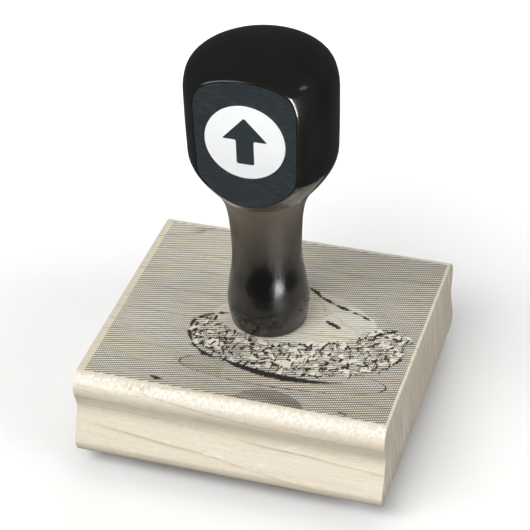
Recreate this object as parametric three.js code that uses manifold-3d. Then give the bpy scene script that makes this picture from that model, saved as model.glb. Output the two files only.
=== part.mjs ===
// A wood-mounted rubber stamp. From the paper up: an engraved rubber die, a foam cushion between two
// adhesive films, a moulded maple block, the printed film that shows the picture, and a turned and
// lacquered handle, held by one countersunk wood screw and marked by a round label.
// Millimetres, +Z up. The origin is the centre of the printing face. X runs along the moulding and
// -Y is the front, where the label faces.

import Module from 'manifold-3d';
import * as THREE from 'three';
import { mergeVertices } from 'three/addons/utils/BufferGeometryUtils.js';

const wasm = await Module();
wasm.setup();

// ---- Driving dimensions -------------------------------------------------------------------------

// Distances that keep neighbouring solids apart.
const CLEARANCE = 0.3;
const SEAT_GAP = 0.05;

// The moulded block: 3 in long, with the same edge moulding at the front and the back.
const BLOCK = {
  width: 76.2,
  height: 21.75,
  nose: { reach: 35, flat: 31.5, drop: 4.2, underDeg: -32 },
  cove: { depth: 33.7, drop: 10.2 },
  bead: { reach: 36.8, drop: 18.4, rise: 16, shoulder: 35.9 },
  foot: 35,
};

// The rubber die is 2 3/4 x 2 1/4 in: a base sheet with a raised printing field on its lower side.
const DIE = { width: 69.85, depth: 57.15, base: 1.25, relief: 1, border: 1.5 };

// The picture on the die and on the block: a sun hat, seen from above and in front.
const HAT = {
  brim: { x: 8.5, y: -8, halfLength: 26, halfWidth: 13, tiltDeg: 6, band: 5.5 },
  crown: { x: 10, y: 1.5, halfLength: 15, halfWidth: 11.5, tiltDeg: -12 },
};

const TAPE_THICKNESS = 0.125;
const FOAM_THICKNESS = 2.5;
const PRINT = { width: 73.4, depth: 63, thickness: 0.125, shiftX: 0.65 };

// The turned handle. A station is the radius and the height above the handle's base.
const HANDLE = {
  baseRadius: 8.8,
  flatDepth: 12.77,
  pilotDepth: 18.5,
  neck: [
    [9.15, 0.4],
    [9.97, 5.8],
    [9.35, 11.6],
    [8.4, 18.8],
    [8.65, 28.2],
    [9.5, 34.2],
    [11.3, 38.6],
  ],
  head: [
    [11.3, 38.6],
    [14.9, 43.3],
    [17.1, 47.6],
    [17.5, 52.5],
    [17.65, 62],
    [17.5, 67.4],
    [16.1, 71.2],
    [12.3, 73.8],
    [6.3, 75.1],
    [0, 75.4],
  ],
};

const LABEL = { radius: 9.38, thickness: 0.25, height: 58.07 };

// A No. 10 x 1 1/2 in wood screw, its head just below flush in the block's underside.
const SCREW = {
  length: 38.1,
  headRadius: 4.7,
  shankRadius: 2.4,
  rim: 0.4,
  coneDeg: 41,
  recess: 0.25,
  tip: 5,
  slot: { length: 5, width: 1, depth: 1.6 },
};

const SEGMENTS = 48;
const SMALL_SEGMENTS = 24;
const OUTLINE_STEPS = 10;
const NECK_STEPS = 16;
const HEAD_STEPS = 20;

// ---- Heights of the stack -----------------------------------------------------------------------

const DIE_TOP = DIE.relief + DIE.base;
const FOAM_BOTTOM = DIE_TOP + TAPE_THICKNESS;
const FOAM_TOP = FOAM_BOTTOM + FOAM_THICKNESS;
const BLOCK_BOTTOM = FOAM_TOP + TAPE_THICKNESS;
const BLOCK_TOP = BLOCK_BOTTOM + BLOCK.height;
const PRINT_TOP = BLOCK_TOP + PRINT.thickness;
const HANDLE_BOTTOM = PRINT_TOP + SEAT_GAP;
const SCREW_BOTTOM = BLOCK_BOTTOM + SCREW.recess;

// ---- Materials ----------------------------------------------------------------------------------

const FINISHES = {
  maple: { color: 0xe8ddc6, roughness: 0.55, metalness: 0 },
  blackLacquer: { color: 0x16191b, roughness: 0.18, metalness: 0 },
  labelPaper: { color: 0xf8f9f8, roughness: 0.6, metalness: 0 },
  printedFilm: { color: 0xa49e92, roughness: 0.6, metalness: 0 },
  zincSteel: { color: 0xc9cbc8, roughness: 0.3, metalness: 1 },
  adhesiveFilm: { color: 0xf1efe4, roughness: 0.35, metalness: 0 },
  greyFoam: { color: 0x8d9192, roughness: 0.9, metalness: 0 },
  brickRubber: { color: 0xa04a38, roughness: 0.7, metalness: 0 },
};

// ---- Solids -------------------------------------------------------------------------------------

// Turns a closed geometry into a manifold solid, with its shared vertices welded.
function toSolid(geometry) {
  const bare = geometry.clone();
  bare.deleteAttribute('normal');
  bare.deleteAttribute('uv');
  const welded = mergeVertices(bare);
  const corners = welded.index.array;
  const kept = [];
  for (let i = 0; i < corners.length; i += 3) {
    const [a, b, c] = corners.slice(i, i + 3);
    if (a !== b && b !== c && c !== a) kept.push(a, b, c);
  }
  return new wasm.Manifold(
    new wasm.Mesh({
      numProp: 3,
      vertProperties: new Float32Array(welded.attributes.position.array),
      triVerts: new Uint32Array(kept),
    }),
  );
}

function toGeometry(solid) {
  const mesh = solid.getMesh();
  const geometry = new THREE.BufferGeometry();
  geometry.setAttribute('position', new THREE.BufferAttribute(mesh.vertProperties, 3));
  geometry.setIndex(new THREE.BufferAttribute(mesh.triVerts, 1));
  geometry.computeVertexNormals();
  return geometry;
}

function part(name, geometry, finish) {
  const mesh = new THREE.Mesh(geometry, new THREE.MeshStandardMaterial(FINISHES[finish]));
  mesh.name = name;
  return mesh;
}

// A sheet of the given outline, its underside at the height z.
function sheet(outline, thickness, z) {
  const settings = { depth: thickness, bevelEnabled: false, curveSegments: SMALL_SEGMENTS };
  return new THREE.ExtrudeGeometry(outline, settings).translate(0, 0, z);
}

// A solid turned about the Z axis from [radius, height] points that start and end on the axis.
function turned(points, segments) {
  const profile = points.map(([r, z]) => new THREE.Vector2(r, z));
  return new THREE.LatheGeometry(profile, segments).rotateX(Math.PI / 2);
}

function rectangle(width, depth, centreX = 0) {
  const left = centreX - width / 2;
  const right = centreX + width / 2;
  return new THREE.Shape([
    new THREE.Vector2(left, -depth / 2),
    new THREE.Vector2(right, -depth / 2),
    new THREE.Vector2(right, depth / 2),
    new THREE.Vector2(left, depth / 2),
  ]);
}

function ellipse({ x, y, halfLength, halfWidth, tiltDeg }) {
  const shape = new THREE.Shape();
  const tilt = THREE.MathUtils.degToRad(tiltDeg);
  shape.absellipse(x, y, halfLength, halfWidth, 0, 2 * Math.PI, false, tilt);
  return shape;
}

function round(radius) {
  return ellipse({ x: 0, y: 0, halfLength: radius, halfWidth: radius, tiltDeg: 0 });
}

// ---- The block ----------------------------------------------------------------------------------

// The moulded edge from the top face to the underside: a bullnose, a cove and a rounded bead.
function mouldingEdge() {
  const { nose, cove, bead, foot, height } = BLOCK;
  const noseArc = new THREE.EllipseCurve(
    nose.flat,
    -nose.drop,
    nose.reach - nose.flat,
    nose.drop,
    Math.PI / 2,
    THREE.MathUtils.degToRad(nose.underDeg),
    true,
  );
  const crease = noseArc.getPoint(1);
  const coveCurve = new THREE.SplineCurve([
    crease,
    new THREE.Vector2(cove.depth, -cove.drop),
    new THREE.Vector2(bead.shoulder, -bead.rise),
    new THREE.Vector2(bead.reach, -bead.drop),
  ]);
  const beadCurve = new THREE.QuadraticBezierCurve(
    coveCurve.getPoint(1),
    new THREE.Vector2(bead.reach, -height + CLEARANCE),
    new THREE.Vector2(foot, -height),
  );
  return [
    ...noseArc.getPoints(OUTLINE_STEPS),
    ...coveCurve.getPoints(OUTLINE_STEPS).slice(1),
    ...beadCurve.getPoints(OUTLINE_STEPS / 2).slice(1),
  ];
}

// The screw's clearance hole: a countersink that narrows to the shank's bore.
function screwHole() {
  const head = SCREW.headRadius + CLEARANCE;
  const bore = SCREW.shankRadius + CLEARANCE;
  const rise = SCREW.recess + SCREW.rim + CLEARANCE;
  const coneHeight = (head - bore) / Math.tan(THREE.MathUtils.degToRad(SCREW.coneDeg));
  return turned(
    [
      [0, BLOCK_BOTTOM - 1],
      [head, BLOCK_BOTTOM - 1],
      [head, BLOCK_BOTTOM + rise],
      [bore, BLOCK_BOTTOM + rise + coneHeight],
      [bore, BLOCK_TOP + 1],
      [0, BLOCK_TOP + 1],
    ],
    SMALL_SEGMENTS,
  );
}

function makeBlock() {
  const front = mouldingEdge();
  const back = front.map((p) => new THREE.Vector2(-p.x, p.y)).reverse();
  const profile = new THREE.Shape([...front, ...back]);
  const moulding = new THREE.ExtrudeGeometry(profile, { depth: BLOCK.width, bevelEnabled: false });
  const profileToSection = new THREE.Matrix4().makeBasis(
    new THREE.Vector3(0, 1, 0),
    new THREE.Vector3(0, 0, 1),
    new THREE.Vector3(1, 0, 0),
  );
  moulding.applyMatrix4(profileToSection).translate(-BLOCK.width / 2, 0, BLOCK_TOP);
  return toGeometry(toSolid(moulding).subtract(toSolid(screwHole())));
}

// The print is stuck on a little to the right of the block's middle, and its hole is on the screw.
function makeIndexPrint() {
  const outline = rectangle(PRINT.width, PRINT.depth, PRINT.shiftX);
  outline.holes.push(round(SCREW.shankRadius + CLEARANCE));
  return sheet(outline, PRINT.thickness, BLOCK_TOP);
}

// ---- The cushion and the die --------------------------------------------------------------------

function makeTape(z) {
  return sheet(rectangle(DIE.width, DIE.depth), TAPE_THICKNESS, z);
}

function makeFoam() {
  const thickness = FOAM_THICKNESS - 2 * SEAT_GAP;
  return sheet(rectangle(DIE.width, DIE.depth), thickness, FOAM_BOTTOM + SEAT_GAP);
}

// The raised field prints the tone. The hat's light crown and the middle of its brim are cut low.
function makeDie() {
  const { brim, crown } = HAT;
  const brimMiddle = {
    ...brim,
    halfLength: brim.halfLength - brim.band,
    halfWidth: brim.halfWidth - brim.band,
  };
  const base = toSolid(sheet(rectangle(DIE.width, DIE.depth), DIE.base, DIE.relief));
  const fieldOutline = rectangle(DIE.width - 2 * DIE.border, DIE.depth - 2 * DIE.border);
  const field = toSolid(sheet(fieldOutline, DIE.relief + DIE.base / 2, 0));
  const lowCrown = toSolid(sheet(ellipse(crown), DIE.relief + 1, -1));
  const lowBrim = toSolid(sheet(ellipse(brimMiddle), DIE.relief + 1, -1));
  return toGeometry(field.add(base).subtract(lowCrown).subtract(lowBrim));
}

// ---- The handle ---------------------------------------------------------------------------------

function smooth(stations, steps) {
  const curve = new THREE.SplineCurve(stations.map(([r, z]) => new THREE.Vector2(r, z)));
  return curve.getPoints(steps).map((p) => [Math.max(p.x, 0), p.y]);
}

function makeHandle() {
  const pilot = SCREW.shankRadius + CLEARANCE;
  const profile = [
    [0, HANDLE.pilotDepth],
    [pilot, HANDLE.pilotDepth],
    [pilot, 0],
    [HANDLE.baseRadius, 0],
    ...smooth(HANDLE.neck, NECK_STEPS),
    ...smooth(HANDLE.head, HEAD_STEPS).slice(1),
  ];
  const knob = turned(profile, SEGMENTS).translate(0, 0, HANDLE_BOTTOM);
  const size = 2 * HANDLE.head[0][1];
  const cutter = new THREE.BoxGeometry(size, size, 2 * size);
  cutter.translate(0, -HANDLE.flatDepth - size / 2, HANDLE_BOTTOM + size);
  return toGeometry(toSolid(knob).subtract(toSolid(cutter)));
}

function makeLabel() {
  const disc = new THREE.CylinderGeometry(LABEL.radius, LABEL.radius, LABEL.thickness, SEGMENTS);
  const y = -HANDLE.flatDepth - SEAT_GAP - LABEL.thickness / 2;
  return disc.translate(0, y, HANDLE_BOTTOM + LABEL.height);
}

function makeScrew() {
  const { headRadius, shankRadius, rim, coneDeg, length, tip, slot } = SCREW;
  const coneHeight = (headRadius - shankRadius) / Math.tan(THREE.MathUtils.degToRad(coneDeg));
  const body = turned(
    [
      [0, 0],
      [headRadius, 0],
      [headRadius, rim],
      [shankRadius, rim + coneHeight],
      [shankRadius, length - tip],
      [0, length],
    ],
    SMALL_SEGMENTS,
  );
  const driverCross = toSolid(new THREE.BoxGeometry(slot.length, slot.width, 2 * slot.depth)).add(
    toSolid(new THREE.BoxGeometry(slot.width, slot.length, 2 * slot.depth)),
  );
  return toGeometry(toSolid(body).subtract(driverCross)).translate(0, 0, SCREW_BOTTOM);
}

// ---- Assembly -----------------------------------------------------------------------------------

const stamp = new THREE.Group();
stamp.add(
  part('rubber_die', makeDie(), 'brickRubber'),
  part('cushion_tape_bottom', makeTape(DIE_TOP), 'adhesiveFilm'),
  part('cushion_foam', makeFoam(), 'greyFoam'),
  part('cushion_tape_top', makeTape(FOAM_TOP), 'adhesiveFilm'),
  part('block', makeBlock(), 'maple'),
  part('index_print', makeIndexPrint(), 'printedFilm'),
  part('handle_screw', makeScrew(), 'zincSteel'),
  part('handle', makeHandle(), 'blackLacquer'),
  part('handle_label', makeLabel(), 'labelPaper'),
);

export default stamp;
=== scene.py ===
"""Dresses a wood-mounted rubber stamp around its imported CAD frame.

Each sub-assembly is a class that builds its meshes and dresses them in finishes. Lengths are in
metres unless a name ends in _mm. +Z is up, X runs along the block's moulding and -Y is the front.
"""

import logging
import math
from collections.abc import Sequence
from dataclasses import dataclass, field
from enum import Enum
from typing import Any, ClassVar

import bmesh
import bpy
import numpy as np
from mathutils import Euler, Matrix, Vector


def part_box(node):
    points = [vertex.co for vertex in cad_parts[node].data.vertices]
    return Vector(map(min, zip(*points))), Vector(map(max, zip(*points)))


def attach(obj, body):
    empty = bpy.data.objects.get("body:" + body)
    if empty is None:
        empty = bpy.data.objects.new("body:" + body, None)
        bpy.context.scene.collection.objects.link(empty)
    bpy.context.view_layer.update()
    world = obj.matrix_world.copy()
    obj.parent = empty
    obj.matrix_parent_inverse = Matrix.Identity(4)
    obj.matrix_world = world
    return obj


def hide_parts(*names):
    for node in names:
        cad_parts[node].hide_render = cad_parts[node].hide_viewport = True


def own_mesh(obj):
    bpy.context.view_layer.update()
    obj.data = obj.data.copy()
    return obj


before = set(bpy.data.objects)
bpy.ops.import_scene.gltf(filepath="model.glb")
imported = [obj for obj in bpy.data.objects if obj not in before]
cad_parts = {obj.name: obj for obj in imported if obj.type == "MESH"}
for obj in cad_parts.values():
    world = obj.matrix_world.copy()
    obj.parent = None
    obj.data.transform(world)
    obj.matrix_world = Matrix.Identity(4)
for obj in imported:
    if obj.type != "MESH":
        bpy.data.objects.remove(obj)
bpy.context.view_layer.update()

LOG = logging.getLogger("stamp")
MM = 0.001
SMOOTH_ANGLE = math.radians(32)


class Body(str, Enum):
    """The CAD bodies that pieces ride on."""

    DIE = "die"
    BLOCK = "mount_block"
    GRIP = "grip"


# ---- Colour and nodes ----


def srgb(hex_colour: str) -> tuple[float, float, float, float]:
    """Turns an sRGB hex colour into linear RGBA.

    Args:
        hex_colour: Six hex digits after a #.

    Returns:
        The linear red, green and blue, and an alpha of 1.
    """
    channels = [int(hex_colour[i : i + 2], 16) / 255 for i in (1, 3, 5)]
    linear = [c / 12.92 if c <= 0.04045 else ((c + 0.055) / 1.055) ** 2.4 for c in channels]
    return (*linear, 1.0)


def mm(*lengths: float) -> tuple[float, ...]:
    """Turns millimetres into metres."""
    return tuple(length * MM for length in lengths)


def degrees(*angles: float) -> tuple[float, ...]:
    """Turns degrees into radians."""
    return tuple(math.radians(angle) for angle in angles)


@dataclass
class Nodes:
    """A material's node tree, with the piece's own coordinates and the one way to add a node."""

    tree: bpy.types.NodeTree
    place: Any = field(init=False)

    def __post_init__(self) -> None:
        """Adds the piece's own coordinates, in metres."""
        self.place = self.add("TexCoord", output="Object")

    def add(self, kind: str, *values: Any, output: int | str = 0, **named: Any) -> Any:
        """Adds a shader node with its settings, and sets or links its inputs.

        Args:
            kind: The node's type, without its ShaderNode prefix.
            *values: What goes into the inputs, in order. None leaves one as it is.
            output: The output to give back, by place or by name.
            **named: A name with a capital is an input, with _ for a space. One without is a
                setting of the node. A colour may be given as sRGB hex.

        Returns:
            The output's socket, or None from a node without outputs.
        """
        node = self.tree.nodes.new("ShaderNode" + kind)
        inputs = dict(enumerate(values))
        for name, value in named.items():
            if name[0].islower():
                setattr(node, name, value)
            else:
                inputs[name.replace("_", " ")] = value
        for key, value in inputs.items():
            if isinstance(value, bpy.types.NodeSocket):
                self.tree.links.new(value, node.inputs[key])
            elif isinstance(value, str):
                node.inputs[key].default_value = srgb(value)
            elif value is not None:
                node.inputs[key].default_value = value
        return node.outputs[output] if node.outputs else None

    def pattern(
        self,
        *size_mm: float,
        turn_deg: tuple[float, float, float] = (0, 0, 0),
        kind: str = "TexNoise",
        **named: float,
    ) -> Any:
        """Lays a texture on the piece at a real size.

        Args:
            *size_mm: The size of one cell of the pattern along X, Y and Z.
            turn_deg: How far the pattern is turned about X, Y and Z.
            kind: The texture, as add takes it.
            **named: The texture's inputs.

        Returns:
            The texture's socket.
        """
        lay = {"Rotation": degrees(*turn_deg), "Scale": mm(*size_mm), "vector_type": "TEXTURE"}
        return self.add(kind, self.add("Mapping", self.place, **lay), Scale=1.0, **named)


@dataclass(frozen=True)
class Finish:
    """A real material with its surface treatment. Patterns are laid on the piece's own place."""

    name: str

    def shade(self, nodes: Nodes) -> dict[str, Any]:
        """Builds the finish's nodes.

        Args:
            nodes: The material's nodes.

        Returns:
            What goes into the surface shader's inputs, by name with _ for a space.
        """
        raise NotImplementedError

    def material(self) -> bpy.types.Material:
        """Gives the Blender material, made the first time that it is asked for."""
        found = bpy.data.materials.get(self.name)
        if found:
            return found
        material = bpy.data.materials.new(self.name)
        material.use_nodes = True
        material.node_tree.nodes.clear()
        nodes = Nodes(material.node_tree)
        inputs = self.shade(nodes)
        nodes.add("OutputMaterial", nodes.add("BsdfPrincipled", **inputs))
        return material


# ---- Finishes ----


@dataclass(frozen=True)
class HardMaple(Finish):
    """Clear-sealed hard maple: cream, nearly even, with thin brown growth lines and silky flecks."""

    name: str = "hard maple, sealed"
    pale: str = "#E7DECD"
    warm: str = "#DBCDB4"
    line: str = "#9A7448"
    fleck: str = "#FDFAF3"
    # Near-white of the painted highlight on both bullnoses, mixed into the wood's colour.
    painted_nose_highlight: str = "#FFFEFB"
    ring_mm: float = 2.6
    ring_axis_mm: tuple[float, float, float] = (0, 46, -58)
    line_share: float = 0.6
    # Where the painted highlight lies: how far out from the middle, and how high.
    nose_reach_m: tuple[float, float] = mm(31.6, 32.8)
    nose_height_m: tuple[float, float] = mm(23.4, 25.4)

    def rings(self, nodes: Nodes) -> Any:
        """Gives the growth lines: shells about an axis that nearly follows the moulding.

        Args:
            nodes: The material's nodes.

        Returns:
            A socket with 1 on a line and 0 between the lines.
        """
        add = nodes.add
        lay = {"Rotation": degrees(0, 0.9, 1.2), "vector_type": "TEXTURE"}
        about = add(
            "Mapping", nodes.place, Location=mm(*self.ring_axis_mm), Scale=mm(1e6, 1, 1), **lay
        )
        radius = add("VectorMath", about, operation="LENGTH", output="Value")
        drift = nodes.pattern(60, 14, 14)
        radius_mm = add("Math", radius, self.ring_mm, operation="DIVIDE")
        turns = add("Math", drift, 1.7, radius_mm, operation="MULTIPLY_ADD")
        phase = add("Math", turns, operation="FRACT")
        rise = add("MapRange", phase, 0.86, 0.95, 0.0, 1.0)
        fall = add("MapRange", phase, 0.955, 0.975, 1.0, 0.0)
        return add("Math", rise, fall, operation="MULTIPLY")

    def wood(self, nodes: Nodes) -> Any:
        """Gives the wood's colour: fibres, growth lines and 3 mm pale flecks.

        Args:
            nodes: The material's nodes.

        Returns:
            The colour's socket.
        """
        add = nodes.add
        fibre = nodes.pattern(15, 0.5, 0.5, Detail=5.0, Roughness=0.62)
        wood = add("MixRGB", add("MapRange", fibre, 0.3, 0.72, 0.0, 0.75), self.pale, self.warm)
        broad = nodes.pattern(90, 16, 16)
        wood = add("MixRGB", add("MapRange", broad, 0.35, 0.7, 0.0, 0.4), wood, self.warm)
        faded = nodes.pattern(26, 5, 5)
        strength = add("MapRange", faded, 0.35, 0.7, 0.05, self.line_share)
        share = add("Math", self.rings(nodes), strength, operation="MULTIPLY")
        wood = add("MixRGB", share, wood, self.line)
        fleck = nodes.pattern(3.2, 0.9, 0.9)
        wood = add("MixRGB", add("MapRange", fleck, 0.6, 0.78, 0.0, 0.35), wood, self.fleck)
        pore = nodes.pattern(1.9, 0.3, 0.3)
        return add("MixRGB", add("MapRange", pore, 0.6, 0.74, 0.0, 0.3), wood, self.line)

    def nose_highlight_mottle(self, nodes: Nodes) -> Any:
        """Gives the pale, 0.8 mm mottle of painted highlight along both bullnoses.

        Args:
            nodes: The material's nodes.

        Returns:
            A socket with 1 where the painted highlight is palest.
        """
        add = nodes.add
        reach = add("Math", add("SeparateXYZ", nodes.place, output="Y"), operation="ABSOLUTE")
        height = add("SeparateXYZ", nodes.place, output="Z")
        outer = add("MapRange", reach, *self.nose_reach_m, 0.0, 1.0)
        upper = add("MapRange", height, *self.nose_height_m, 0.0, 1.0)
        nose = add("Math", outer, upper, operation="MULTIPLY")
        mottle = nodes.pattern(0.7, 0.9, 0.9, Detail=3.0, Roughness=0.6)
        return add("Math", nose, add("MapRange", mottle, 0.4, 0.66, 0.0, 0.7), operation="MULTIPLY")

    def shade(self, nodes: Nodes) -> dict[str, Any]:
        """Builds the nodes, as Finish.shade says."""
        add = nodes.add
        fibre = nodes.pattern(20, 0.35, 0.35, Detail=4.0)
        # Painted highlight on both bullnoses, in the base colour; the mottle also bumps the coat.
        painted_nose_highlight = self.nose_highlight_mottle(nodes)
        return {
            "Base_Color": add("MixRGB", painted_nose_highlight, self.wood(nodes), self.painted_nose_highlight),
            "Roughness": add("MapRange", fibre, 0.3, 0.7, 0.38, 0.56),
            "IOR": 1.5,
            "Coat_Weight": 0.6,
            "Coat_Roughness": 0.27,
            "Normal": add("Bump", Distance=0.04 * MM, Height=fibre),
            "Coat_Normal": add("Bump", Distance=0.05 * MM, Height=painted_nose_highlight),
        }


@dataclass(frozen=True)
class MapleEndGrain(HardMaple):
    """Sawn end of the moulding: the fibres' cut ends drink light, so it is greyer and darker."""

    name: str = "hard maple, sawn end grain"
    pale: str = "#D9D0BF"
    warm: str = "#B5A993"
    line: str = "#776247"
    line_share: float = 0.9
    pore: str = "#8F8068"
    sawn: str = "#E9E2D2"

    def shade(self, nodes: Nodes) -> dict[str, Any]:
        """Builds the nodes, as Finish.shade says. Pores are 0.34 mm apart, as vessels are."""
        add = nodes.add
        vessel = nodes.pattern(0.34, 0.34, 0.34, kind="TexVoronoi")
        cut_open = add("MapRange", vessel, 0.1, 0.32, 0.3, 0.0)
        wood = add("MixRGB", cut_open, self.wood(nodes), self.pore)
        saw = nodes.pattern(1, 1.1, 26, turn_deg=(14, 0, 0))
        wood = add("MixRGB", add("MapRange", saw, 0.38, 0.68, 0.0, 0.5), wood, self.sawn)
        return {
            "Base_Color": wood,
            "Roughness": add("MapRange", saw, 0.3, 0.7, 0.6, 0.75),
            "IOR": 1.5,
            "Normal": add("Bump", Distance=0.05 * MM, Height=saw),
        }


@dataclass(frozen=True)
class PrintedMaple(HardMaple):
    """A halftone picture in warm black ink on a clear film over the maple.

    The screen's rows are drawn coarser than a real 0.4 mm screen, so that the dots show.
    """

    name: str = "halftone print over maple"
    pale: str = "#EDE7DA"
    warm: str = "#DDD3BF"
    ink: str = "#14120E"
    row_mm: float = 0.8
    dot_mm: float = 0.54
    screen_deg: float = 17
    tone: str = "tone"

    def screen(self, nodes: Nodes) -> Any:
        """Gives the halftone screen, rows of staggered dots.

        Args:
            nodes: The material's nodes.

        Returns:
            A socket from 0 in a dot's middle to 1 between the dots.
        """
        add = nodes.add
        cell = mm(self.dot_mm / math.tau, self.row_mm / math.tau, 1)
        turn = degrees(0, 0, self.screen_deg)
        grid = add("Mapping", nodes.place, Rotation=turn, Scale=cell, vector_type="TEXTURE")
        across = add("SeparateXYZ", grid, output="X")
        along = add("SeparateXYZ", grid, output="Y")
        rows = add("Math", along, operation="COSINE")
        half = add("Math", add("Math", along, 0.5, operation="MULTIPLY"), operation="COSINE")
        dots = add("Math", add("Math", across, operation="COSINE"), half, operation="MULTIPLY")
        both = add("Math", rows, 1.2, dots, operation="MULTIPLY_ADD")
        return add("MapRange", both, -1.8, 1.8, 0.0, 1.0)

    def shade(self, nodes: Nodes) -> dict[str, Any]:
        """Builds the nodes, as Finish.shade says."""
        add = nodes.add
        tone = add("Attribute", attribute_name=self.tone, output="Fac")
        worn = nodes.pattern(7, 0.5, 1, Detail=3.0)
        level = add("Math", tone, add("MapRange", worn, 0.3, 0.7, -0.05, 0.05))
        over = add("Math", level, self.screen(nodes), operation="SUBTRACT")
        dot = add("MapRange", over, -0.14, 0.14, 0.0, 1.0)
        solid = add("MapRange", tone, 0.78, 0.95, 0.0, 1.0)
        inked = add("Math", dot, solid, operation="MAXIMUM")
        wash = add("Math", solid, 0.22, 0.76, operation="MULTIPLY_ADD")
        cover = add("Math", inked, wash, operation="MULTIPLY")
        return {
            "Base_Color": add("MixRGB", cover, self.wood(nodes), self.ink),
            "Roughness": add("MapRange", worn, 0.3, 0.7, 0.66, 0.8),
            "IOR": 1.42,
            "Normal": add("Bump", Distance=0.01 * MM, Height=inked),
        }


@dataclass(frozen=True)
class BlackLacquer(Finish):
    """Gloss black lacquer on turned hardwood: mirror-like, with the grain just telegraphing."""

    name: str = "gloss black lacquer"
    colour: str = "#0C0D0E"
    bloom: str = "#211F1B"

    def shade(self, nodes: Nodes) -> dict[str, Any]:
        """Builds the nodes, as Finish.shade says. The lacquer's orange peel is 0.9 mm across."""
        add = nodes.add
        peel = nodes.pattern(0.9, 0.9, 0.9, Detail=1.0)
        grain = nodes.pattern(0.45, 0.45, 7, Detail=3.0)
        haze = nodes.pattern(6, 6, 11)
        wavy = add("Bump", Distance=0.006 * MM, Height=peel)
        return {
            "Base_Color": add("MixRGB", haze, self.colour, self.bloom),
            "Roughness": add("MapRange", haze, 0.3, 0.7, 0.14, 0.24),
            "IOR": 1.6,
            "Coat_Weight": 1.0,
            "Coat_Roughness": 0.05,
            "Coat_IOR": 1.55,
            "Normal": add("Bump", Distance=0.01 * MM, Height=grain, Normal=wavy),
            "Coat_Normal": add("Bump", Distance=0.004 * MM, Height=peel),
        }


@dataclass(frozen=True)
class NeckLacquer(Finish):
    """Black lacquer on the neck: glossy on the bulb, worn to satin and browner above it."""

    name: str = "satin black lacquer on the neck"
    colour: str = "#0A0A09"
    worn: str = "#14120F"
    # The light brown that the colour turns to higher up the neck.
    upper_brown: str = "#5A5145"
    browning_heights_m: tuple[float, float] = mm(46, 64)
    wisp: float = 15 * MM
    cloud: float = 24 * MM
    satin_above_m: tuple[float, float] = mm(64, 70)
    satin_below_m: tuple[float, float] = mm(33, 28)

    def shade(self, nodes: Nodes) -> dict[str, Any]:
        """Builds the nodes, as Finish.shade says. The grain's pores are 5 mm by 0.4 mm."""
        add = nodes.add
        grain = nodes.pattern(0.4, 0.4, 5, Detail=4.0, Roughness=0.6)
        haze = nodes.pattern(5, 5, 12)
        share = add("MapRange", grain, 0.35, 0.7, 0.0, 1.0)
        stained = add("MixRGB", share, self.colour, self.worn)
        height = add("SeparateXYZ", nodes.place, output="Z")
        # The colour grades lighter and browner between these two heights.
        thin = add("MapRange", height, *self.browning_heights_m, 0.0, 1.0)
        clouded = add("Math", haze, self.cloud, height, operation="MULTIPLY_ADD")
        ragged = add("Math", grain, self.wisp, clouded, operation="MULTIPLY_ADD")
        upper = add("MapRange", ragged, *self.satin_above_m, 0.0, 1.0)
        lower = add("MapRange", height, *self.satin_below_m, 0.0, 0.5)
        satin = add("Math", upper, lower, operation="MAXIMUM")
        gloss = add("MapRange", haze, 0.3, 0.7, 0.14, 0.22)
        return {
            "Base_Color": add("MixRGB", thin, stained, self.upper_brown),
            "Roughness": add("Math", satin, 0.24, gloss, operation="MULTIPLY_ADD"),
            "IOR": 1.65,
            "Coat_Weight": 0.2,
            "Coat_Roughness": 0.1,
            "Coat_IOR": 1.7,
            "Normal": add("Bump", Distance=0.05 * MM, Height=grain),
            "Coat_Normal": add("Bump", Distance=0.03 * MM, Height=grain),
        }


@dataclass(frozen=True)
class SandedLacquer(Finish):
    """Thin satin lacquer over the sanded flat: black, with open grain lying across it."""

    name: str = "satin black lacquer on the sanded flat"
    # Slate grey, not black: partly painted sheen, standing in for the floor's soft reflection.
    colour: str = "#171D20"
    raised: str = "#384145"

    def shade(self, nodes: Nodes) -> dict[str, Any]:
        """Builds the nodes, as Finish.shade says. The grain's ridges are 2.6 mm by 0.4 mm."""
        add = nodes.add
        uneven = {"Detail": 4.0, "Roughness": 0.65, "Distortion": 0.7}
        grain = nodes.pattern(2.6, 1, 0.42, turn_deg=(0, 9, 0), **uneven)
        pores = add("MapRange", grain, 0.56, 0.66, 1.0, 0.0)
        ridge = add("Bump", Distance=0.1 * MM, Height=grain)
        # Mixes the dark and the lighter grey by the grain; both greys are partly painted sheen.
        share = add("MapRange", grain, 0.32, 0.6, 1.0, 0.0)
        return {
            "Base_Color": add("MixRGB", share, self.colour, self.raised),
            "Roughness": add("MapRange", grain, 0.3, 0.7, 0.36, 0.55),
            "IOR": 1.5,
            "Normal": add("Bump", Distance=0.09 * MM, Height=pores, Normal=ridge),
        }


@dataclass(frozen=True)
class LabelVinyl(Finish):
    """White vinyl label stock: clean, softly glossy, with a faint calendered tooth."""

    name: str = "white vinyl label"
    colour: str = "#FEFFFF"
    smudged: str = "#EFF2F2"

    def shade(self, nodes: Nodes) -> dict[str, Any]:
        """Builds the nodes, as Finish.shade says. The tooth is 0.3 mm, coarser than real."""
        add = nodes.add
        tooth = nodes.pattern(0.3, 0.3, 0.3)
        smudge = nodes.pattern(9, 9, 9)
        share = add("MapRange", smudge, 0.4, 0.8, 0.0, 0.3)
        return {
            "Base_Color": add("MixRGB", share, self.colour, self.smudged),
            "Roughness": add("MapRange", tooth, 0.3, 0.7, 0.32, 0.42),
            "IOR": 1.5,
            "Normal": add("Bump", Distance=0.003 * MM, Height=tooth),
        }


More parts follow.
